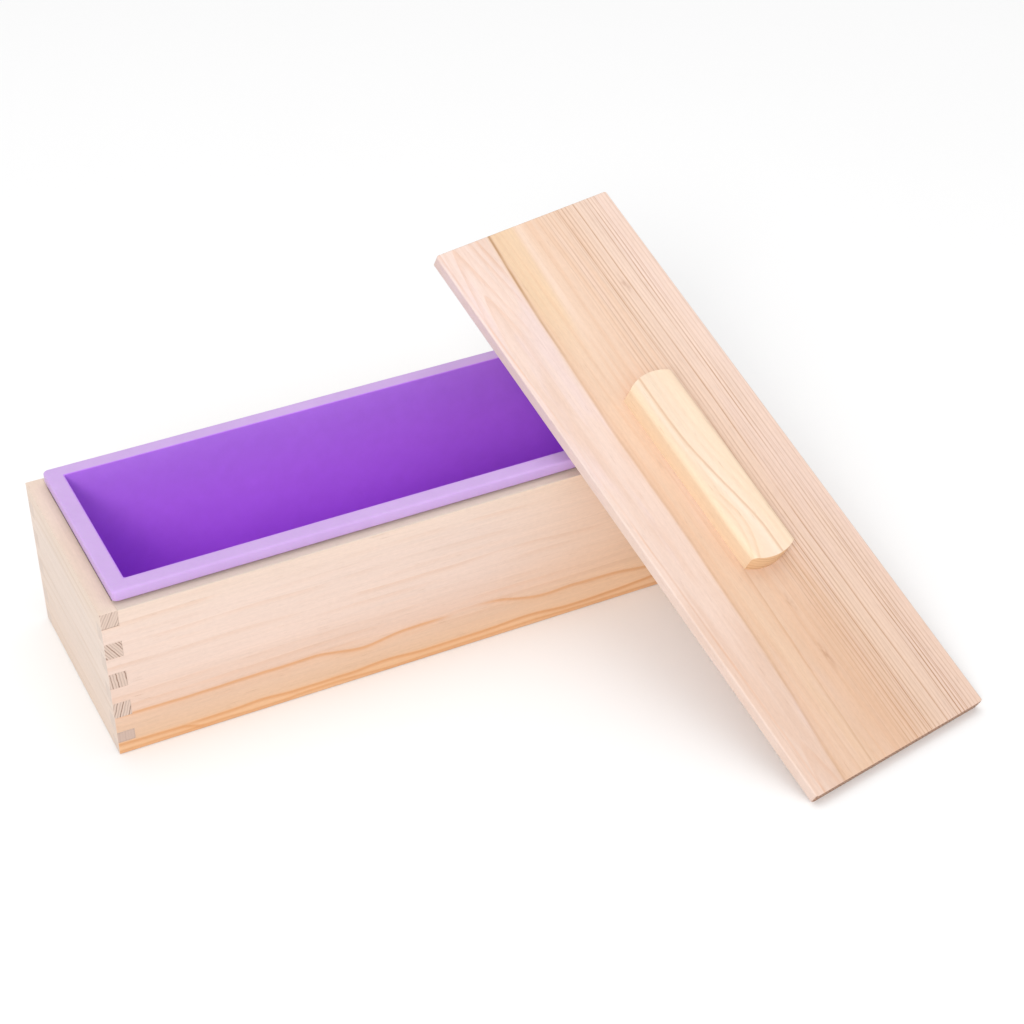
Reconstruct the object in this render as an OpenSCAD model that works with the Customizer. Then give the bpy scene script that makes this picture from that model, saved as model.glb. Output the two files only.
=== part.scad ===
// Soap loaf mould: a finger-jointed pine box, a silicone liner that lifts out of it,
// and a loose pine lid with a handle, leaning on the liner's rim.
// Millimetres, +Z up. The origin is the middle of the box's underside; +X runs along the box.

/* [Box] */
// Outside length of the box
box_l = 286; // [220:1:360]
// Outside width of the box
box_w = 103; // [85:1:140]
// Height of the box walls
box_h = 73; // [55:1:100]
// Thickness of the side and end boards
board_t = 7.5; // [6:0.5:10]
// Height of one step of the finger joints, counted down from the top
finger_step = 7.7; // [6:0.1:12]
// Height of the joints' lowest step, which belongs to the side boards
foot_step = 6; // [4:0.5:8]

/* [Bottom panel] */
// Thickness of the bottom panel
bottom_t = 5; // [3:0.5:7]
// Depth of the rebate that takes the bottom panel's edge
rebate_d = 3; // [2:0.5:4]

/* [Liner] */
// Thickness of the liner's walls and floor
liner_t = 2.5; // [1.5:0.1:4]
// Slope of the liner's walls from upright, in degrees
liner_draft = 1.5; // [0:0.1:3]
// Room between the liner and each side board
liner_side_gap = 1.2; // [0.4:0.1:3]
// Room between the liner and each end board
liner_end_gap = 4.6; // [0.4:0.1:5]
// Room between the liner's floor and the bottom panel
liner_floor_gap = 0.3; // [0.2:0.1:1]
// Inside corner radius of the liner, seen from above
liner_corner_r = 2; // [1:0.5:8]
// Width of the flat rim around the opening
rim_w = 7.5; // [5:0.5:12]
// Thickness of the rim
rim_t = 5; // [2:0.1:6]
// Height of the rim's underside above the walls
rim_gap = 1.5; // [0.4:0.1:3]
// Corner radius of the rim, seen from above
rim_corner_r = 2.5; // [2:0.5:8]
// Chamfer of the rim's top edge
rim_chamfer = 0.6; // [0.2:0.1:1.5]

/* [Lid] */
// Length of the lid
lid_l = 286; // [220:1:360]
// Width of the lid
lid_w = 96; // [80:1:140]
// Thickness of the lid
lid_t = 6; // [6:0.5:10]
// Rounding of the lid's edges
lid_edge_r = 0.8; // [0.4:0.1:2]
// Corner radius of the lid, seen from above
lid_corner_r = 2; // [1:0.5:6]

/* [Handle] */
// Length of the handle
handle_l = 98; // [80:1:140]
// Width of the handle
handle_w = 24; // [18:1:28]
// Height of the handle
handle_h = 10; // [9:0.5:14]
// Rounding of the handle's long upper edges
handle_edge_r = 2.5; // [1:0.5:4]
// How far each end of the handle bows out
handle_bow = 3.5; // [3:0.5:8]

/* [Screws] */
// Distance between the two screws
screw_spacing = 56; // [40:1:60]
// Overall length of a screw
screw_l = 14; // [12:0.5:14.5]
// Diameter of a screw's shank
screw_d = 3.5; // [3:0.1:4]
// Diameter of a screw's countersunk head
screw_head_d = 7; // [6:0.1:8]

/* [Lid's resting place] */
// Lean of the lid from level, in degrees
lid_lean = 28.5; // [25:0.5:32]
// Turn of the lid from square across the box, in degrees
lid_turn = 11.5; // [0:0.5:15]
// Gap between the lid and the corner of the rim that it leans on
lid_gap = 0.3; // [0.2:0.1:1]

/* [Hidden] */
$fn = 48;
EPS = 0.01;
SLICE = 0.02;

// Finger joints: the highest step belongs to the end boards, and a finger is never thinner than this
MIN_FINGER = 3;
finger_count = floor((box_h - foot_step - MIN_FINGER) / (2 * finger_step)) + 1;
function finger_top(i) = box_h - 2 * i * finger_step;
function finger_low(i) = max(finger_top(i) - finger_step, foot_step);

// Liner: the body fills the box and the rim reaches out over the walls
cavity_l = box_l - 2 * (board_t + liner_end_gap + liner_t);
cavity_w = box_w - 2 * (board_t + liner_side_gap + liner_t);
rim_top = box_h + rim_gap + rim_t;
liner_z = bottom_t + liner_floor_gap;
cavity_z = liner_z + liner_t;

// Screws: the head's cone, the point and the cross-shaped recess
head_h = (screw_head_d - screw_d) / 2;
tip_h = 3;
recess_w = 1.1;
recess_l = 3.8;
recess_d = 1.2;
head_sink = 0.2;

// The lid's foot stands on the ground and its underside just clears the rim's front right corner
heading = 90 + lid_turn;
rest_r = rim_corner_r - rim_chamfer;
rest_x = cavity_l / 2 + rim_w - rim_corner_r - rest_r * cos(heading);
rest_y = -(cavity_w / 2 + rim_w - rim_corner_r) - rest_r * sin(heading);
foot_x = box_l / 2;
foot_z = -lid_edge_r * (sin(lid_lean) + cos(lid_lean) - 1);
rest_run = ((rim_top - foot_z) * cos(lid_lean) + lid_gap) / sin(lid_lean);
foot_y = rest_y - (rest_run - (rest_x - foot_x) * cos(heading)) / sin(heading);

// Rectangle centred on the origin, with rounded corners
module rounded_rect(w, l, r) {
    square([w - 2 * r, l], center = true);
    square([w, l - 2 * r], center = true);
    for (sx = [-1, 1], sy = [-1, 1])
        translate([sx * (w / 2 - r), sy * (l / 2 - r)])
            circle(r);
}

// Slab standing on z = 0, with rounded edges and rounded corners
module soft_slab(w, l, t, edge_r, corner_r) {
    intersection() {
        linear_extrude(t)
            rounded_rect(w, l, corner_r);
        translate([0, l / 2, t / 2])
            rotate([90, 0, 0])
                linear_extrude(l)
                    rounded_rect(w, t, edge_r);
        translate([-w / 2, 0, t / 2])
            rotate([90, 0, 90])
                linear_extrude(w)
                    rounded_rect(l, t, edge_r);
    }
}

// Tapering solid between two rounded rectangles
module tapered(w0, l0, r0, z0, w1, l1, r1, z1) {
    hull() {
        translate([0, 0, z0])
            linear_extrude(SLICE)
                rounded_rect(w0, l0, r0);
        translate([0, 0, z1 - SLICE])
            linear_extrude(SLICE)
                rounded_rect(w1, l1, r1);
    }
}

// Bottom panel's solid, which also cuts the rebates in the boards
module bottom_blank() {
    l = box_l - 2 * (board_t - rebate_d);
    w = box_w - 2 * (board_t - rebate_d);
    translate([-l / 2, -w / 2, 0])
        cube([l, w, bottom_t]);
}

// The end board's fingers at the front left corner, counted from the top
module end_fingers() {
    for (i = [0 : finger_count - 1])
        translate([-box_l / 2, -box_w / 2, finger_low(i)])
            cube([board_t, board_t, finger_top(i) - finger_low(i)]);
}

// The side board's fingers at the same corner
module side_fingers() {
    for (i = [0 : finger_count - 1]) {
        low = i < finger_count - 1 ? finger_top(i + 1) : 0;
        translate([-box_l / 2, -box_w / 2, low])
            cube([board_t, board_t, finger_low(i) - low]);
    }
}

// Long board at the front of the box
module side_board() {
    difference() {
        translate([-box_l / 2, -box_w / 2, 0])
            cube([box_l, board_t, box_h]);
        for (side = [0, 1])
            mirror([side, 0, 0])
                end_fingers();
        bottom_blank();
    }
}

// Short board at the left end of the box
module end_board() {
    difference() {
        translate([-box_l / 2, -box_w / 2, 0])
            cube([board_t, box_w, box_h]);
        for (side = [0, 1])
            mirror([0, side, 0])
                side_fingers();
        bottom_blank();
    }
}

module front_board() {
    color("wheat")
        side_board();
}

module rear_board() {
    color("wheat")
        mirror([0, 1, 0])
            side_board();
}

module left_end_board() {
    color("antiquewhite")
        end_board();
}

module right_end_board() {
    color("antiquewhite")
        mirror([1, 0, 0])
            end_board();
}

module bottom_panel() {
    color("bisque")
        bottom_blank();
}

module silicone_liner() {
    shrink = 2 * (rim_top - liner_z) * tan(liner_draft);
    outer_r = liner_corner_r + liner_t;
    rim_l = cavity_l + 2 * rim_w;
    rim_wide = cavity_w + 2 * rim_w;
    color("mediumorchid")
        difference() {
            union() {
                tapered(cavity_l + 2 * liner_t - shrink, cavity_w + 2 * liner_t - shrink, outer_r, liner_z,
                        cavity_l + 2 * liner_t, cavity_w + 2 * liner_t, outer_r, rim_top - EPS);
                translate([0, 0, rim_top - rim_t])
                    linear_extrude(rim_t - rim_chamfer)
                        rounded_rect(rim_l, rim_wide, rim_corner_r);
                tapered(rim_l, rim_wide, rim_corner_r, rim_top - rim_chamfer - SLICE,
                        rim_l - 2 * rim_chamfer, rim_wide - 2 * rim_chamfer, rest_r, rim_top);
            }
            tapered(cavity_l - shrink, cavity_w - shrink, liner_corner_r, cavity_z,
                    cavity_l, cavity_w, liner_corner_r, rim_top + EPS);
        }
}

// Moves the lid's own frame, with its origin under the middle of the foot, to where the lid rests
module at_rest() {
    translate([foot_x, foot_y, foot_z])
        rotate([lid_lean, 0, lid_turn])
            children();
}

// Solid of revolution of a screw, head down and point up
module screw_blank() {
    rotate_extrude()
        polygon([
            [0, head_sink],
            [screw_head_d / 2, head_sink],
            [screw_d / 2, head_sink + head_h],
            [screw_d / 2, head_sink + screw_l - tip_h],
            [0, head_sink + screw_l]
        ]);
}

// Hole that a screw fills, with a countersink up to the lid's underside
module screw_hole() {
    screw_blank();
    translate([0, 0, -EPS])
        cylinder(d = screw_head_d, h = head_sink + EPS);
}

// Countersunk wood screw with a cross-shaped recess
module screw() {
    difference() {
        screw_blank();
        for (angle = [0, 90])
            rotate([0, 0, angle])
                translate([-recess_l / 2, -recess_w / 2, 0])
                    cube([recess_l, recess_w, head_sink + recess_d]);
    }
}

// Puts a screw below (-1) or above (1) the middle of the lid
module at_screw(side) {
    translate([0, lid_l / 2 + side * screw_spacing / 2, 0])
        children();
}

module lid_panel() {
    color("burlywood")
        at_rest()
            difference() {
                translate([0, lid_l / 2, 0])
                    soft_slab(lid_w, lid_l, lid_t, lid_edge_r, lid_corner_r);
                for (side = [-1, 1])
                    at_screw(side)
                        screw_hole();
            }
}

// The handle seen from its end, standing on y = 0
module handle_section() {
    translate([-handle_w / 2, 0])
        square([handle_w, handle_h - handle_edge_r]);
    translate([handle_edge_r - handle_w / 2, 0])
        square([handle_w - 2 * handle_edge_r, handle_h]);
    for (side = [-1, 1])
        translate([side * (handle_w / 2 - handle_edge_r), handle_h - handle_edge_r])
            circle(handle_edge_r);
}

// The handle seen from above, but wider than it is, with an arc at each end
module handle_arcs() {
    arc_r = (pow(handle_w / 2, 2) + pow(handle_bow, 2)) / (2 * handle_bow);
    square([handle_w, handle_l - 2 * arc_r], center = true);
    for (side = [-1, 1])
        translate([0, side * (handle_l / 2 - arc_r)])
            circle(arc_r);
}

module lid_handle() {
    color("cornsilk")
        at_rest()
            difference() {
                translate([0, lid_l / 2, lid_t])
                    intersection() {
                        linear_extrude(handle_h)
                            handle_arcs();
                        translate([0, handle_l / 2, 0])
                            rotate([90, 0, 0])
                                linear_extrude(handle_l)
                                    handle_section();
                    }
                for (side = [-1, 1])
                    at_screw(side)
                        screw_blank();
            }
}

module lower_handle_screw() {
    color("silver")
        at_rest()
            at_screw(-1)
                screw();
}

module upper_handle_screw() {
    color("silver")
        at_rest()
            at_screw(1)
                screw();
}

front_board();
rear_board();
left_end_board();
right_end_board();
bottom_panel();
silicone_liner();
lid_panel();
lid_handle();
lower_handle_screw();
upper_handle_screw();
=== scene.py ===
"""Looks of the soap loaf mould: a pine box, a purple silicone liner and a pine lid leaning on its rim.

Lengths are in metres, and those whose name ends in _mm are in millimetres. A wood material works
in its board's own millimetres: u along the grain, v across it and w through the thickness, all
measured from the middle of the board.
"""

import math

import bmesh
import bpy
from mathutils import Matrix, Vector, noise


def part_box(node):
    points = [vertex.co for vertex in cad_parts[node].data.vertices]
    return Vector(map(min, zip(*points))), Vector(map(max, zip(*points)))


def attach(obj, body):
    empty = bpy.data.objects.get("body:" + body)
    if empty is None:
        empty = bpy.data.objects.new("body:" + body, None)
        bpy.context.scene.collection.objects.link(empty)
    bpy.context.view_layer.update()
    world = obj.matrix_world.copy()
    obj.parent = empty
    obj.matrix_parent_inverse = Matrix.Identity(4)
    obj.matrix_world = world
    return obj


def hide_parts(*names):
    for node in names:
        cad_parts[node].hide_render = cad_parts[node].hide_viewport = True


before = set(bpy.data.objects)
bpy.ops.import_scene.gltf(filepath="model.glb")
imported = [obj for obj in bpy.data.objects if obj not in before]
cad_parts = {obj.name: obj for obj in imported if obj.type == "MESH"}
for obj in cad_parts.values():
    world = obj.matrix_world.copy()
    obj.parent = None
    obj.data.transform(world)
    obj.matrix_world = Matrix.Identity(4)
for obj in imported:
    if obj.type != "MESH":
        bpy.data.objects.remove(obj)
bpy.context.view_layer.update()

MM = 0.001
X = Vector((1, 0, 0))
Y = Vector((0, 1, 0))
Z = Vector((0, 0, 1))

# The lid leans back and is turned a little from square across the box
LID_LEAN = math.radians(28.5)
LID_TURN = math.radians(11.5)
LID_AXES = Matrix.Rotation(LID_TURN, 3, "Z") @ Matrix.Rotation(LID_LEAN, 3, "X")
LID_ACROSS, LID_ALONG, LID_UP = LID_AXES.col

# The box's finger joints: steps are counted down from the top of the walls, and an end board's
# fingers take every second one
FINGER_STEP_MM = 7.7
FOOT_STEP_MM = 6.0
LAST_FINGER = 8

# The liner's rim, and half the length and width of its body
RIM_W_MM = 7.5
LINER_HALF_L_MM = 136
LINER_HALF_W_MM = 48


def srgb(red, green, blue):
    """Linear colour of an sRGB triple that runs from 0 to 255."""
    values = [value / 255 for value in (red, green, blue)]
    return (*[v / 12.92 if v <= 0.04045 else ((v + 0.055) / 1.055) ** 2.4 for v in values], 1.0)


def centre_of(*nodes):
    """Middle of the box around some CAD nodes."""
    corners = [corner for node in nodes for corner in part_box(node)]
    low = Vector([min(corner[i] for corner in corners) for i in range(3)])
    high = Vector([max(corner[i] for corner in corners) for i in range(3)])
    return (low + high) / 2


# ---------------------------------------------------------------- material graphs


class Graph:
    """One material's nodes, made by short calls that take sockets or plain values."""

    def __init__(self, name):
        self.material = bpy.data.materials.new(name)
        self.material.use_nodes = True
        self.tree = self.material.node_tree
        self.tree.nodes.clear()

    def add(self, kind, inputs=None, **settings):
        node = self.tree.nodes.new(kind)
        for key, value in settings.items():
            setattr(node, key, value)
        for key, value in (inputs or {}).items():
            if isinstance(value, bpy.types.NodeSocket):
                self.tree.links.new(value, node.inputs[key])
            else:
                node.inputs[key].default_value = value
        return node

    def math(self, operation, a, b=0.0, c=0.0, clamp=False):
        inputs = {0: a, 1: b, 2: c}
        return self.add("ShaderNodeMath", inputs, operation=operation, use_clamp=clamp).outputs[0]

    def plus(self, a, b):
        return self.math("ADD", a, b)

    def minus(self, a, b):
        return self.math("SUBTRACT", a, b)

    def times(self, a, b):
        return self.math("MULTIPLY", a, b)

    def scaled(self, value, factor, offset=0.0):
        return self.math("MULTIPLY_ADD", value, factor, offset)

    def smooth(self, value, low, high, start=0.0, end=1.0):
        """Rises smoothly from start to end as value goes from low to high."""
        inputs = {"Value": value, "From Min": low, "From Max": high, "To Min": start, "To Max": end}
        node = self.add("ShaderNodeMapRange", inputs, interpolation_type="SMOOTHSTEP")
        return node.outputs["Result"]

    def bump_of(self, value, centre, rise, fall):
        """One where value is centre, fading to nothing over rise below it and over fall above it."""
        below = self.smooth(value, centre - rise, centre)
        above = self.smooth(value, centre, centre + fall, 1.0, 0.0)
        return self.times(below, above)

    def within(self, value, low, high, blur):
        """One between low and high, with edges blurred over blur."""
        inside = self.smooth(value, low - blur / 2, low + blur / 2)
        outside = self.smooth(value, high - blur / 2, high + blur / 2, 1.0, 0.0)
        return self.times(inside, outside)

    def vector(self, x, y, z):
        return self.add("ShaderNodeCombineXYZ", {0: x, 1: y, 2: z}).outputs[0]

    def dot(self, a, b):
        return self.add("ShaderNodeVectorMath", {0: a, 1: b}, operation="DOT_PRODUCT").outputs["Value"]

    def noise(self, vector, detail=2.0, roughness=0.5, distortion=0.0):
        """Noise around 0.5 whose features are about one unit of vector across."""
        inputs = {
            "Vector": vector,
            "Scale": 1.0,
            "Detail": detail,
            "Roughness": roughness,
            "Distortion": distortion,
        }
        return self.add("ShaderNodeTexNoise", inputs).outputs["Fac"]

    def ramp(self, value, stops, low=0.0, high=1.0):
        """Colour from stops of (value, colour), where the values run from low to high."""
        share = self.math("DIVIDE", self.minus(value, low), high - low)
        node = self.add("ShaderNodeValToRGB", {"Fac": share})
        elements = node.color_ramp.elements
        while len(elements) < len(stops):
            elements.new(0.5)
        for element, (at, colour) in zip(elements, stops):
            element.position = (at - low) / (high - low)
            element.color = colour
        return node.outputs["Color"]

    def mix(self, factor, a, b, blend="MIX"):
        node = self.add("ShaderNodeMix", data_type="RGBA", blend_type=blend)
        sockets = [s for s in node.inputs if s.type == "RGBA"]
        for socket, value in zip([node.inputs["Factor"], *sockets], [factor, a, b]):
            if isinstance(value, bpy.types.NodeSocket):
                self.tree.links.new(value, socket)
            else:
                socket.default_value = value
        return next(s for s in node.outputs if s.type == "RGBA")

    def stretched(self, vector, factor):
        """A vector, or a colour, times one factor."""
        inputs = {0: vector, "Scale": factor}
        return self.add("ShaderNodeVectorMath", inputs, operation="SCALE").outputs["Vector"]

    def surface(self, colour, roughness, height, depth, constants=None):
        """Ends the graph in a Principled surface. Height is 0 to 1, and depth its size in metres."""
        bump = self.add("ShaderNodeBump", {"Height": height, "Distance": depth, "Strength": 1.0})
        inputs = {
            "Base Color": colour,
            "Roughness": roughness,
            "Normal": bump.outputs["Normal"],
            **(constants or {}),
        }
        shader = self.add("ShaderNodeBsdfPrincipled", inputs)
        output = self.add("ShaderNodeOutputMaterial")
        self.tree.links.new(shader.outputs["BSDF"], output.inputs["Surface"])
        return self.material


class Wood(Graph):
    """Bare sanded pine, in one board's own millimetres."""

    def __init__(self, name, centre, along, across, through, seed):
        super().__init__(name)
        coordinates = self.add("ShaderNodeTexCoord").outputs
        inputs = {0: coordinates["Object"], 1: centre}
        place = self.add("ShaderNodeVectorMath", inputs, operation="SUBTRACT").outputs["Vector"]
        axes = (along, across, through)
        self.u, self.v, self.w = [self.scaled(self.dot(place, axis), 1 / MM) for axis in axes]
        facing = self.math("ABSOLUTE", self.dot(coordinates["Normal"], along))
        self.end = self.smooth(facing, 0.6, 0.8)
        self.seed = seed

    def grain(self, length, width, depth=None, detail=2.0, roughness=0.5, shift=0.0):
        """Noise with features of that length, width and depth in millimetres."""
        at = self.seed + shift
        u = self.scaled(self.u, 1 / length, at)
        v = self.scaled(self.v, 1 / width, at * 1.7)
        w = self.scaled(self.w, 1 / (depth or width), at * 2.3)
        return self.noise(self.vector(u, v, w), detail, roughness)

    def swing(self, amount, length, width, shift=0.0):
        """Slow noise from -amount to amount, for bending growth lines."""
        return self.scaled(self.grain(length, width, shift=shift), 2 * amount, -amount)

    def rings(self, position, spacing, seed=0.0, start=0.3):
        """Darkness of growth lines a spacing apart: each darkens slowly and ends sharply."""
        turn = self.scaled(position, 1 / spacing, 1000 + seed)
        share = self.math("FRACT", turn)
        line = self.times(self.smooth(share, start, 0.9), self.smooth(share, 0.92, 1.0, 1.0, 0.0))
        ring = self.math("FLOOR", turn)
        strength = self.add("ShaderNodeTexWhiteNoise", {"W": ring}, noise_dimensions="1D")
        return self.times(line, self.scaled(strength.outputs["Value"], 0.75, 0.25))

    def finish(self, colour, lines, end_colour=None):
        """Adds fibres, pores and end grain to a board's colour, and ends the graph."""
        coarse = self.grain(70, 1.6, detail=3, shift=11)
        fine = self.grain(24, 0.45, detail=2, shift=17)
        cloud = self.grain(60, 14, detail=2, shift=23)
        tone = self.scaled(coarse, 0.11, 0.945)
        tone = self.plus(tone, self.scaled(fine, 0.10, -0.05))
        tone = self.plus(tone, self.scaled(cloud, 0.08, -0.04))
        speckle = self.grain(2.4, 0.9, detail=2, shift=51)
        tone = self.plus(tone, self.scaled(speckle, 0.12, -0.06))
        colour = self.stretched(colour, tone)
        pores = self.smooth(self.grain(9, 0.4, detail=1, shift=31), 0.70, 0.80)
        colour = self.mix(self.times(pores, 0.25), colour, srgb(188, 146, 114))
        if end_colour is not None:
            colour = self.mix(self.end, colour, end_colour)
        height = self.plus(self.times(fine, 0.5), self.times(coarse, 0.4))
        height = self.minus(height, self.plus(self.times(pores, 0.5), self.times(lines, 0.25)))
        roughness = self.scaled(fine, 0.14, 0.56)
        constants = {"Specular IOR Level": 0.3}
        return self.surface(colour, roughness, height, 0.00012, constants)


# ---------------------------------------------------------------- pine


def half_height(node):
    """Half the height of a board, in millimetres."""
    return (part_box(node)[1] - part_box(node)[0]).z / 2 / MM


def side_board_wood(name, node, streaks, seed):
    """Cream pine of a long board, with a few strong orange growth lines."""
    wood = Wood(name, centre_of(node), X, Z, Y, seed)
    top = 2 * half_height(node)
    height = wood.plus(wood.v, top / 2)
    wavy = wood.plus(height, wood.swing(1.3, 46, 30))
    body = wood.ramp(wavy, [
        (0, srgb(228, 184, 144)),
        (4, srgb(229, 188, 150)),
        (6.5, srgb(222, 186, 156)),
        (14, srgb(221, 187, 161)),
        (22, srgb(224, 193, 174)),
        (36, srgb(227, 202, 188)),
        (60, srgb(229, 206, 193)),
        (76, srgb(231, 208, 192)),
    ], 0, 76)
    # Towards the right end the colour turns warmer: partly the wood's own tint, partly painted shade for
    # the orange of the lid's shadow on the front board
    warm_tint_and_lid_shade = wood.times(wood.smooth(wood.u, 10, 135), 0.6)
    colour = wood.mix(warm_tint_and_lid_shade, body, srgb(247, 209, 170))
    faint = wood.rings(wood.plus(wavy, wood.swing(5, 160, 40, 3)), 5.2)
    faint = wood.times(faint, wood.smooth(wood.grain(50, 12, shift=5), 0.40, 0.62))
    colour = wood.mix(wood.times(faint, 0.26), colour, srgb(214, 168, 134))
    lines = wood.times(faint, 0.4)
    for start, end, level, slope, swells, strength in streaks:
        along = wood.within(wood.u, start, end, 18)
        bent = wood.minus(wavy, wood.scaled(wood.u, slope, -slope * start))
        for middle, reach, rise in swells:
            swell = wood.bump_of(wood.u, middle, reach, reach)
            bent = wood.minus(bent, wood.scaled(swell, rise))
        streak = wood.times(wood.bump_of(bent, level, 1.9, 0.9), along)
        glow = wood.times(wood.bump_of(bent, level, 6.0, 2.0), along)
        colour = wood.mix(wood.times(glow, 0.4 * strength), colour, srgb(230, 176, 126))
        colour = wood.mix(wood.times(streak, strength), colour, srgb(212, 150, 98))
        lines = wood.plus(lines, streak)
    # Painted shade: the sawn upper edge is a little greyer than the face, for the shadow under the
    # liner's rim
    upper = wood.smooth(height, top - 0.35, top - 0.1)
    colour = wood.mix(wood.times(upper, 0.75), colour, srgb(213, 200, 184))
    ends = wood.rings(wood.plus(wood.w, wood.scaled(wood.v, 0.35)), 1.5, seed)
    end_colour = wood.mix(wood.times(ends, 0.35), srgb(221, 204, 192), srgb(188, 164, 148))
    return wood.finish(colour, lines, end_colour)


def end_board_wood(name, node, seed):
    """Beige pine of a short board. The growth lines on its fingers' ends lean a new way at each step."""
    wood = Wood(name, centre_of(node), Y, Z, X, seed)
    wavy = wood.plus(wood.v, wood.swing(4, 70, 30))
    body = wood.ramp(wavy, [
        (-38, srgb(227, 206, 190)),
        (-10, srgb(228, 210, 197)),
        (20, srgb(229, 212, 200)),
        (38, srgb(229, 208, 191)),
    ], -38, 38)
    faint = wood.rings(wavy, 6.5)
    faint = wood.times(faint, wood.smooth(wood.grain(60, 14, shift=5), 0.36, 0.60))
    colour = wood.mix(wood.times(faint, 0.32), body, srgb(208, 182, 158))
    depth = wood.scaled(wood.v, -1.0, half_height(node))
    share = wood.math("FRACT", wood.scaled(depth, 1 / FINGER_STEP_MM))
    middle = wood.scaled(share, -FINGER_STEP_MM, FINGER_STEP_MM / 2)
    # Lean of the lines and their strength, finger by finger from the top
    fingers = [(0, 0.5, 0.6), (2, -0.62, 1.0), (4, -0.12, 1.0), (6, 0.3, 1.0), (LAST_FINGER, 0.0, 0.3)]
    lean = 0.0
    strength = 0.0
    for index, slope, amount in fingers:
        here = wood.within(depth, index * FINGER_STEP_MM, (index + 1) * FINGER_STEP_MM, 0.1)
        lean = wood.plus(lean, wood.scaled(here, slope))
        strength = wood.plus(strength, wood.scaled(here, amount))
    across = wood.minus(wood.w, wood.times(lean, middle))
    stripes = wood.rings(wood.plus(across, wood.swing(0.35, 50, 3, 7)), 1.25, seed, 0.35)
    end_colour = wood.mix(wood.times(stripes, strength), srgb(214, 192, 178), srgb(128, 92, 74))
    # Glue lines under the first finger and round the last one
    last = LAST_FINGER * FINGER_STEP_MM
    foot = 2 * half_height(node) - FOOT_STEP_MM
    for level, amount in ((FINGER_STEP_MM, 0.6), (last, 0.45), (foot, 0.5)):
        glue = wood.bump_of(depth, level, 0.8, 0.8)
        end_colour = wood.mix(wood.times(glue, amount), end_colour, srgb(150, 122, 104))
    last_finger = wood.smooth(depth, last, last + 0.3)
    end_colour = wood.mix(wood.times(last_finger, 0.55), end_colour, srgb(186, 160, 148))
    return wood.finish(colour, faint, end_colour)


def bottom_wood():
    """Plain pine of the bottom panel."""
    wood = Wood("pine_bottom", centre_of("bottom_panel"), X, Y, Z, 61.0)
    wavy = wood.plus(wood.v, wood.swing(9, 120, 30))
    body = wood.ramp(wavy, [
        (-50, srgb(243, 214, 186)),
        (0, srgb(240, 205, 172)),
        (50, srgb(245, 218, 194)),
    ], -50, 50)
    lines = wood.rings(wavy, 4.6)
    colour = wood.mix(wood.times(lines, 0.5), body, srgb(212, 156, 110))
    return wood.finish(colour, lines)


def lid_wood():
    """The lid: a plain strip of sapwood on the left, an oblique border, and close lines on the right."""
    wood = Wood("pine_lid", centre_of("lid_panel"), LID_ALONG, LID_ACROSS, LID_UP, 7.0)
    # The border between the two kinds of wood runs obliquely from the foot to the head
    cubed = wood.times(wood.u, wood.times(wood.u, wood.u))
    border = wood.plus(wood.scaled(wood.u, 0.02, -26), wood.scaled(cubed, 0.0000013))
    wavy = wood.plus(wood.v, wood.swing(1.3, 60, 34))
    inside = wood.minus(wavy, border)
    colour = lid_tones(wood, wavy, inside)
    colour, edge = lid_oblique_lines(wood, wavy, inside, colour)
    fan = wood.plus(wood.v, wood.scaled(wood.u, -0.006))
    fan = wood.plus(fan, wood.swing(2.0, 150, 26, 9))
    close = lid_close_lines(wood, fan)
    colour = wood.mix(wood.times(close, 0.95), colour, srgb(186, 143, 110))
    colour = lid_flecks(wood, colour)
    arches = lid_arches(wood, inside)
    colour = wood.mix(wood.times(arches, 0.42), colour, srgb(218, 172, 140))
    # The colour darkens a little towards the foot
    low = wood.smooth(wood.u, -150, 110, 1.0, 0.0)
    colour = wood.mix(low, colour, (0.92, 0.88, 0.83, 1.0), "MULTIPLY")
    lines = wood.plus(wood.plus(close, edge), wood.times(arches, 0.5))
    # Painted shade: the sawn long sides are greyed a little, as they stand in shade
    side = wood.smooth(wood.math("ABSOLUTE", wood.v), 47.2, 47.8)
    colour = wood.mix(wood.times(side, 0.4), colour, srgb(222, 205, 195))
    end_rings = wood.rings(wood.plus(fan, wood.scaled(wood.w, 0.8)), 1.9, 3)
    end_colour = wood.mix(wood.times(end_rings, 0.8), srgb(170, 134, 112), srgb(124, 90, 72))
    return wood.finish(colour, lines, end_colour)


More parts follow.
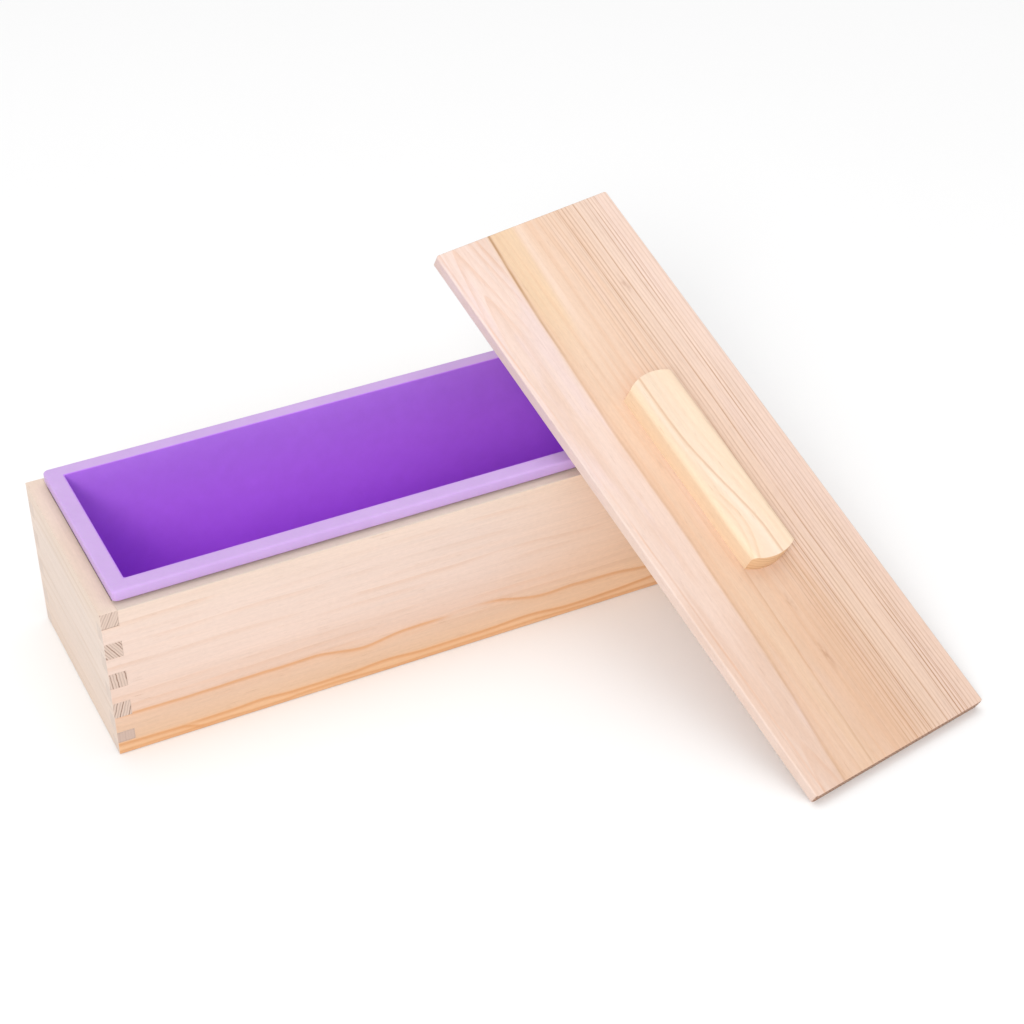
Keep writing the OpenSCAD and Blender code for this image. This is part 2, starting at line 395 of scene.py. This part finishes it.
def lid_tones(wood, wavy, inside):
    """Broad tones of the lid: salmon and pink, a yellower part at the head, and a cream stripe."""
    salmon = wood.ramp(inside, [
        (-25, srgb(236, 212, 201)),
        (-1.2, srgb(235, 210, 197)),
        (0.4, srgb(229, 194, 168)),
        (5, srgb(231, 199, 174)),
        (16, srgb(233, 203, 180)),
        (24, srgb(232, 201, 178)),
        (34, srgb(232, 202, 180)),
        (50, srgb(233, 206, 188)),
        (72, srgb(235, 209, 195)),
    ], -25, 76)
    # Between the border and the stripe the head is yellower than the rest
    yellow = wood.times(wood.smooth(wood.u, 60, 110), wood.within(inside, 0, 15, 6))
    colour = wood.mix(wood.times(yellow, 0.6), salmon, srgb(232, 201, 164))
    # Broad lilac and tan clouds, mostly in the sapwood
    clouds = wood.smooth(wood.grain(70, 9, detail=3, shift=27), 0.44, 0.66)
    cloudy = wood.smooth(inside, -2, 1, 0.42, 0.12)
    colour = wood.mix(wood.times(clouds, cloudy), colour, srgb(221, 186, 164))
    lilac = wood.smooth(wood.grain(60, 12, shift=37), 0.5, 0.66)
    colour = wood.mix(wood.times(lilac, cloudy), colour, srgb(233, 211, 212))
    # Soft orange streaks beside the border, and a cream stripe near the head
    streaky = wood.smooth(wood.grain(85, 2.6, detail=2, shift=2), 0.42, 0.66)
    zone = wood.within(inside, 0, 44, 6)
    colour = wood.mix(wood.times(wood.times(streaky, zone), 0.26), colour, srgb(221, 177, 142))
    stripe = wood.bump_of(wood.minus(wavy, wood.scaled(wood.u, 0.055, -12)), 0.0, 3.4, 3.4)
    stripe = wood.times(stripe, wood.smooth(wood.u, 60, 110))
    return wood.mix(wood.times(stripe, 0.7), colour, srgb(240, 214, 196))


def lid_oblique_lines(wood, wavy, inside, colour):
    """Adds the border's dark edge and two fainter lines. Returns the colour and the edge's own mask."""
    # The edge is strongest at the head
    edge = wood.bump_of(inside, 0.2, 0.9, 1.4)
    strength = wood.smooth(wood.u, 60, 125, 0.26, 0.9)
    strength = wood.times(strength, wood.smooth(wood.grain(14, 3, shift=49), 0.3, 0.55, 0.6, 1.0))
    colour = wood.mix(wood.times(edge, strength), colour, srgb(180, 138, 100))
    # A faint orange line runs close to the left edge
    beside = wood.plus(wood.v, wood.scaled(wood.u, 0.012, 45))
    beside = wood.bump_of(wood.plus(beside, wood.swing(0.8, 50, 30, 43)), 0.0, 0.9, 0.7)
    beside = wood.times(beside, wood.smooth(wood.grain(45, 6, shift=45), 0.36, 0.6, 0.25, 1.0))
    colour = wood.mix(wood.times(beside, 0.45), colour, srgb(222, 172, 136))
    # Another oblique line runs from the handle's corner to the foot
    second = wood.bump_of(wood.minus(wavy, wood.scaled(wood.u, 0.045, -10)), 0.0, 1.2, 0.5)
    second = wood.times(second, wood.within(wood.u, -146, -42, 14))
    return wood.mix(wood.times(second, 0.36), colour, srgb(196, 150, 112)), edge


def lid_close_lines(wood, fan):
    """Darkness of the close growth lines, which fade out to the left and break here and there."""
    close = wood.plus(wood.rings(fan, 2.1, 0, 0.56), wood.times(wood.rings(fan, 1.63, 5, 0.5), 0.5))
    start = wood.scaled(wood.u, 0.026, 1.5)
    right = wood.smooth(wood.minus(fan, start), -3, 16, 0.06, 1.0)
    right = wood.times(right, wood.smooth(wood.v, 42, 47, 1.0, 0.5))
    patchy = wood.smooth(wood.grain(110, 5, shift=13), 0.32, 0.6, 0.4, 1.0)
    broken = wood.smooth(wood.grain(22, 1.2, shift=15), 0.30, 0.5, 0.55, 1.0)
    return wood.times(wood.times(close, right), wood.times(patchy, broken))


def lid_flecks(wood, colour):
    """Adds a browner patch below the handle, and a few soft flecks of (u, v, reach, amount)."""
    patch = wood.times(wood.within(wood.u, -150, -62, 50), wood.within(wood.v, -14, 16, 16))
    colour = wood.mix(wood.times(patch, 0.3), colour, srgb(214, 168, 136))
    flecks = [(-67, -3, 7, 0.42), (-94, -3.5, 10, 0.45), (97, 25.5, 9, 0.42)]
    for middle_u, middle_v, reach, amount in flecks:
        long = wood.bump_of(wood.u, middle_u, reach, reach)
        thin = wood.bump_of(wood.plus(wood.v, wood.swing(1.8, 7, 3, 21)), middle_v, 2.0, 2.0)
        spot = wood.times(wood.times(long, thin), wood.smooth(wood.grain(4, 1.2, shift=47), 0.3, 0.6))
        colour = wood.mix(wood.times(spot, amount), colour, srgb(172, 126, 98))
    return colour


def lid_arches(wood, inside):
    """Darkness of the sapwood's faint arches, at the head and at the foot's corner."""
    arch_v = wood.plus(wood.v, 39)
    arch_r = wood.math("SQRT", wood.plus(wood.times(arch_v, arch_v), 4.0))
    arch = wood.plus(wood.scaled(wood.u, 0.16), wood.times(arch_r, 1.1))
    arches = wood.times(wood.rings(arch, 4.2), wood.smooth(inside, -3, -1, 1.0, 0.0))
    near_ends = wood.plus(wood.smooth(wood.u, 80, 130), wood.smooth(wood.u, -132, -112, 0.9, 0.0))
    return wood.times(arches, wood.plus(near_ends, 0.06))


def handle_wood():
    """The handle: paler, creamy pine with a thin S-shaped line and a few soft curved ones."""
    wood = Wood("pine_handle", centre_of("lid_handle"), LID_ALONG, LID_ACROSS, LID_UP, 29.0)
    side = wood.plus(wood.v, wood.swing(0.8, 40, 14))
    colour = wood.ramp(side, [
        (-12, srgb(238, 211, 180)),
        (-8, srgb(238, 212, 186)),
        (-1, srgb(239, 216, 193)),
        (6, srgb(241, 216, 190)),
        (12, srgb(239, 211, 183)),
    ], -12, 12)
    # One line crosses over in an S beside a pale streak, and an arch opens below it
    crossing = wood.smooth(wood.u, -40, 22, 2.4, -5.4)
    across = wood.minus(side, crossing)
    pale = wood.bump_of(across, -2.4, 1.8, 1.8)
    colour = wood.mix(wood.times(pale, 0.55), colour, srgb(243, 224, 204))
    lines = wood.times(wood.bump_of(across, 5.2, 2.4, 1.2), 0.3)
    lines = wood.plus(lines, wood.times(wood.bump_of(across, 9.0, 1.8, 1.0), 0.25))
    below = wood.smooth(wood.u, -22, -6, 1.0, 0.0)
    from_peak = wood.plus(wood.u, 28)
    arch = wood.plus(side, wood.scaled(wood.times(from_peak, from_peak), 0.013, 4.2))
    inner_arch = wood.times(wood.bump_of(arch, -3.4, 1.4, 0.8), 0.6)
    arches = wood.plus(wood.bump_of(arch, 0.0, 1.6, 0.8), inner_arch)
    lines = wood.plus(lines, wood.times(arches, wood.times(below, 0.8)))
    third = wood.times(wood.bump_of(side, -6.2, 1.3, 0.9), wood.within(wood.u, -24, 36, 16))
    lines = wood.math("MINIMUM", wood.plus(lines, wood.times(third, 0.3)), 1.0)
    colour = wood.mix(wood.times(lines, 0.5), colour, srgb(226, 186, 148))
    thin = wood.bump_of(across, 0.0, 1.2, 0.8)
    colour = wood.mix(wood.times(thin, 0.55), colour, srgb(208, 164, 128))
    lines = wood.plus(lines, thin)
    end_rings = wood.rings(wood.plus(wood.w, wood.scaled(wood.v, 0.3)), 2.1, 8)
    end_colour = wood.mix(wood.times(end_rings, 0.55), srgb(232, 193, 152), srgb(200, 154, 112))
    return wood.finish(colour, lines, end_colour)


# ---------------------------------------------------------------- silicone and steel


def silicone(opening_l, opening_w, floor_z, rim_top):
    """Satin purple silicone with painted light and shade: a lighter lilac on the rim, and a deeper
    violet inside the cavity.
    """
    graph = Graph("purple_silicone")
    point = graph.add("ShaderNodeTexCoord").outputs["Object"]
    height = graph.dot(point, (0, 0, 1))
    depth = graph.minus(rim_top, height)
    beside_x = graph.math("ABSOLUTE", graph.dot(point, (1, 0, 0)))
    beside_y = graph.math("ABSOLUTE", graph.dot(point, (0, 1, 0)))
    edge = 0.0004
    in_x = graph.smooth(beside_x, opening_l / 2 - edge, opening_l / 2 + edge, 1.0, 0.0)
    in_y = graph.smooth(beside_y, opening_w / 2 - edge, opening_w / 2 + edge, 1.0, 0.0)
    above = graph.smooth(height, floor_z - 0.001, floor_z - 0.0005)
    cavity = graph.times(graph.times(in_x, in_y), above)
    mottle = graph.noise(graph.stretched(point, 170.0), detail=4, roughness=0.6)
    cloud = graph.noise(graph.stretched(point, 26.0), detail=2)
    # Painted shade: inside the cavity the violet deepens towards the floor
    inside = graph.ramp(depth, [
        (0.0, srgb(187, 124, 234)),
        (0.03, srgb(191, 114, 236)),
        (0.075, srgb(178, 84, 226)),
    ], 0.0, 0.075)
    # Painted light and shade: the rim is a lighter lilac, and below its top the outside fades to the
    # shaded violet
    lilac = graph.mix(cloud, srgb(197, 162, 221), srgb(202, 170, 223))
    outside = graph.mix(graph.smooth(depth, 0.004, 0.02), lilac, srgb(176, 130, 214))
    colour = graph.mix(cavity, outside, inside)
    tone = graph.plus(graph.scaled(mottle, 0.12, 0.94), graph.scaled(cloud, 0.06, -0.03))
    colour = graph.stretched(colour, tone)
    roughness = graph.scaled(mottle, 0.2, 0.36)
    constants = {
        "Specular IOR Level": 0.4,
        "Subsurface Weight": 0.12,
        "Subsurface Radius": (0.9, 0.4, 1.0),
        "Subsurface Scale": 0.003,
        "Sheen Weight": 0.06,
        "Sheen Roughness": 0.5,
    }
    return graph.surface(colour, roughness, graph.plus(mottle, cloud), 0.00015, constants)


def zinc():
    """Zinc-plated steel of the screws, with a little stain."""
    graph = Graph("zinc_screw")
    point = graph.add("ShaderNodeTexCoord").outputs["Object"]
    stain = graph.noise(graph.stretched(point, 900.0), detail=3)
    colour = graph.mix(stain, srgb(206, 204, 198), srgb(168, 168, 172))
    roughness = graph.scaled(stain, 0.25, 0.22)
    return graph.surface(colour, roughness, stain, 0.00003, {"Metallic": 1.0})


# ---------------------------------------------------------------- pieces


def dress(node, material, bevel_mm):
    """Gives a CAD node its material, and eases its edges."""
    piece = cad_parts[node]
    piece.data.materials.clear()
    piece.data.materials.append(material)
    if bevel_mm:
        weld = piece.modifiers.new("weld", "WELD")
        weld.merge_threshold = 0.00001
        bevel = piece.modifiers.new("eased_edges", "BEVEL")
        bevel.width = bevel_mm * MM
        bevel.segments = 3
        bevel.limit_method = "ANGLE"
        bevel.angle_limit = math.radians(40)
        bevel.harden_normals = True
    return piece


def loop_points(half_l, half_w, radius, z, corner_steps=7, side_steps=(44, 14)):
    """Points round a rounded rectangle, from the right side's middle, with straight sides divided."""
    points = []
    corners = [(1, 1, 0), (-1, 1, 90), (-1, -1, 180), (1, -1, 270)]
    for index, (sign_x, sign_y, start) in enumerate(corners):
        centre = Vector((sign_x * (half_l - radius), sign_y * (half_w - radius)))
        arc = []
        for step in range(corner_steps + 1):
            angle = math.radians(start + 90 * step / corner_steps)
            arc.append(centre + radius * Vector((math.cos(angle), math.sin(angle))))
        points += arc
        next_x, next_y, next_start = corners[(index + 1) % 4]
        next_centre = Vector((next_x * (half_l - radius), next_y * (half_w - radius)))
        turn = math.radians(next_start)
        target = next_centre + radius * Vector((math.cos(turn), math.sin(turn)))
        divisions = side_steps[index % 2]
        points += [arc[-1].lerp(target, k / divisions) for k in range(1, divisions)]
    return [Vector((p.x, p.y, z)) for p in points]


def arc_profile(inset, z, radius, start, end, steps=5):
    """Points of (inset, z) on an arc about a centre, with angles in degrees from straight outward."""
    turns = [math.radians(start + (end - start) * k / steps) for k in range(steps + 1)]
    return [(inset - radius * math.cos(t), z + radius * math.sin(t)) for t in turns]


def silicone_liner():
    """The liner as one closed shell, swept from a profile of (inset from the rim's edge, z) in mm."""
    low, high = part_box("silicone_liner")
    half_l, half_w = high.x / MM, high.y / MM
    top, bottom = high.z / MM, low.z / MM
    rim_w, rim_t, wall = RIM_W_MM, 5.0, 2.5
    rim_corner, body_corner, cavity_corner = 2.2, 4.5, 1.0
    # How far the drafted walls have come in by the floor
    foot = (top - bottom) * math.tan(math.radians(1.5))
    outer = rim_w - wall
    foot_r, floor_r, edge_r, inner_r, under_r = 2.0, 3.0, 1.0, 0.45, 0.5
    body = [
        *arc_profile(outer + foot + foot_r, bottom + foot_r, foot_r, -90, 0),
        (outer + foot * 0.66, bottom + (top - bottom) * 0.34),
        (outer + foot * 0.33, bottom + (top - bottom) * 0.67),
        (outer + 0.2, top - rim_t - 1.0),
        (outer - 0.1, top - rim_t),
    ]
    rim = [
        *arc_profile(under_r, top - rim_t + under_r, under_r, -90, 0, 3),
        *arc_profile(edge_r, top - edge_r, edge_r, 0, 90, 6),
        (rim_w * 0.4, top),
        (rim_w * 0.7, top),
    ]
    # The opening's edge turns inward past 90 degrees, and the floor's fillet turns down from 0
    cavity = [
        *arc_profile(rim_w - inner_r, top - inner_r, inner_r, 90, 180, 4),
        (rim_w + foot * 0.12, top - (top - bottom) * 0.12),
        (rim_w + foot * 0.33, top - (top - bottom) * 0.33),
        (rim_w + foot * 0.6, top - (top - bottom) * 0.6),
        *arc_profile(rim_w + foot + floor_r, bottom + wall + floor_r, floor_r, 0, -90, 5),
    ]
    mesh = bmesh.new()
    rings = []
    for part, corner in ((body, body_corner), (rim, rim_corner), (cavity, cavity_corner)):
        for inset, z in part:
            points = loop_points(half_l - inset, half_w - inset, corner, z)
            rings.append([mesh.verts.new(soften(p, inset, z, top, bottom) * MM) for p in points])
    for below, above in zip(rings, rings[1:]):
        for k in range(len(below)):
            n = (k + 1) % len(below)
            mesh.faces.new((below[k], below[n], above[n], above[k]))
    for ring, z, flip in ((rings[0], bottom, True), (rings[-1], bottom + wall, False)):
        close_flat(mesh, ring, z, flip)
    bmesh.ops.recalc_face_normals(mesh, faces=mesh.faces)
    data = bpy.data.meshes.new("liner_shell")
    mesh.to_mesh(data)
    mesh.free()
    data.shade_smooth()
    piece = bpy.data.objects.new("liner_shell", data)
    bpy.context.scene.collection.objects.link(piece)
    opening_l = 2 * (half_l - rim_w + inner_r) * MM
    opening_w = 2 * (half_w - rim_w + inner_r) * MM
    piece.data.materials.append(silicone(opening_l, opening_w, (bottom + wall) * MM, top * MM))
    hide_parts("silicone_liner")
    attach(piece, "liner")
    return piece


def soften(point, inset, z, top, bottom):
    """Bows the cavity's walls in a little and lets the rim sag, as soft silicone does."""
    wander = noise.noise(Vector((point.x / 46, point.y / 46, z / 60)))
    fine = noise.noise(Vector((point.x / 17 + 9, point.y / 17, z / 25)))
    share = (z - bottom) / (top - bottom)
    if inset > RIM_W_MM - 0.1:
        belly = math.sin(math.pi * min(max(share, 0), 1))
        inward = Vector((-point.x / LINER_HALF_L_MM, -point.y / LINER_HALF_W_MM, 0))
        return point + inward * belly * (0.45 + 0.5 * wander + 0.15 * fine)
    in_rim = share > 0.9
    sag = 0.12 + 0.12 * wander + 0.05 * fine
    return point - Vector((0, 0, sag)) if in_rim else point


def close_flat(mesh, ring, z, flip):
    """Closes a ring with shrinking loops and a middle face."""
    centre = Vector((0, 0, z * MM))
    current = ring
    for share in (0.75, 0.5, 0.25):
        inner = [mesh.verts.new(centre + (v.co - centre) * share) for v in ring]
        for k in range(len(ring)):
            n = (k + 1) % len(ring)
            mesh.faces.new((current[k], current[n], inner[n], inner[k]))
        current = inner
    mesh.faces.new(current[::-1] if flip else current)


# ---------------------------------------------------------------- studio


def studio():
    """A pale floor, a bright surround, a broad lamp from the front left and another overhead."""
    world = bpy.data.worlds.new("surround")
    world.use_nodes = True
    background = world.node_tree.nodes["Background"]
    background.inputs["Color"].default_value = (1.0, 1.0, 1.0, 1.0)
    background.inputs["Strength"].default_value = 0.72
    bpy.context.scene.world = world

    floor = bpy.data.meshes.new("floor")
    reach = 6.0
    corners = [(-reach, -reach, 0), (reach, -reach, 0), (reach, reach, 0), (-reach, reach, 0)]
    floor.from_pydata(corners, [], [(0, 1, 2, 3)])
    ground = bpy.data.objects.new("floor", floor)
    bpy.context.scene.collection.objects.link(ground)
    ground.location.z = -0.0003
    graph = Graph("pale_floor")
    point = graph.add("ShaderNodeTexCoord").outputs["Object"]
    cloud = graph.noise(graph.stretched(point, 3.0))
    colour = graph.mix(cloud, (0.93, 0.93, 0.93, 1), (0.95, 0.95, 0.95, 1))
    floor.materials.append(graph.surface(colour, 0.9, cloud, 0.0001))

    lamp("key", (-1.35, -1.95, 1.7), 1.0, 34)
    lamp("top", (0.2, 0.3, 2.4), 2.0, 13)


def lamp(name, place, size, watts):
    """A square soft lamp that faces the mould."""
    light = bpy.data.lights.new(name, "AREA")
    light.shape = "SQUARE"
    light.size = size
    light.energy = watts
    holder = bpy.data.objects.new(name, light)
    holder.location = place
    holder.rotation_euler = (Vector((0, 0, 0.05)) - holder.location).to_track_quat("-Z", "Y").to_euler()
    bpy.context.scene.collection.objects.link(holder)


def camera():
    """Looks down on the mould from the front left, with a long lens."""
    place = Vector((-0.3009, -0.7619, 0.6310))
    azimuth, elevation, roll = math.radians(-25.54), math.radians(35.76), math.radians(-0.92)
    ahead = Vector((
        -math.sin(azimuth) * math.cos(elevation),
        math.cos(azimuth) * math.cos(elevation),
        -math.sin(elevation),
    ))
    level = Vector((math.cos(azimuth), math.sin(azimuth), 0))
    above = level.cross(ahead)
    right = math.cos(roll) * level + math.sin(roll) * above
    up = -math.sin(roll) * level + math.cos(roll) * above
    data = bpy.data.cameras.new("camera")
    data.lens = 80.2
    data.sensor_width = 36.0
    data.clip_start = 0.05
    holder = bpy.data.objects.new("camera", data)
    turned = Matrix((right, up, -ahead)).transposed().to_4x4()
    holder.matrix_world = Matrix.Translation(place) @ turned
    bpy.context.scene.collection.objects.link(holder)
    bpy.context.scene.camera = holder


# Growth lines of the long boards: (start, end, height, slope, swells of (place, reach, rise), strength)
FRONT_STREAKS = [
    (-140, 4, 19.8, -0.004, [(-88, 30, 0.3), (-34, 22, -2.8)], 0.68),
    (26, 150, 20.0, -0.1, [(50, 20, -2.6), (90, 22, 0.8)], 0.6),
    (-160, -104, 5.6, -0.03, [(-104, 12, -3.0)], 0.75),
    (-112, 160, 4.6, 0.0, [(-80, 16, 1.0), (-22, 18, 1.2), (45, 20, 1.0), (112, 26, 1.3)], 0.75),
    (-160, 160, 1.4, 0.0, [(-50, 30, 0.8), (60, 34, 0.7)], 0.6),
]
REAR_STREAKS = [
    (-150, 60, 52.0, -0.02, [(-40, 30, 2.0)], 0.5),
    (-40, 150, 14.0, 0.02, [(60, 30, -2.0)], 0.6),
]

camera()
studio()
dress("front_board", side_board_wood("pine_front", "front_board", FRONT_STREAKS, 3.0), 0.2)
dress("rear_board", side_board_wood("pine_rear", "rear_board", REAR_STREAKS, 41.0), 0.2)
dress("left_end_board", end_board_wood("pine_left_end", "left_end_board", 13.0), 0.2)
dress("right_end_board", end_board_wood("pine_right_end", "right_end_board", 53.0), 0.2)
dress("bottom_panel", bottom_wood(), 0.2)
dress("lid_panel", lid_wood(), 0)
dress("lid_handle", handle_wood(), 0.6)
steel = zinc()
dress("lower_handle_screw", steel, 0)
dress("upper_handle_screw", steel, 0)
silicone_liner()

bpy.context.scene.view_settings.view_transform = "Standard"
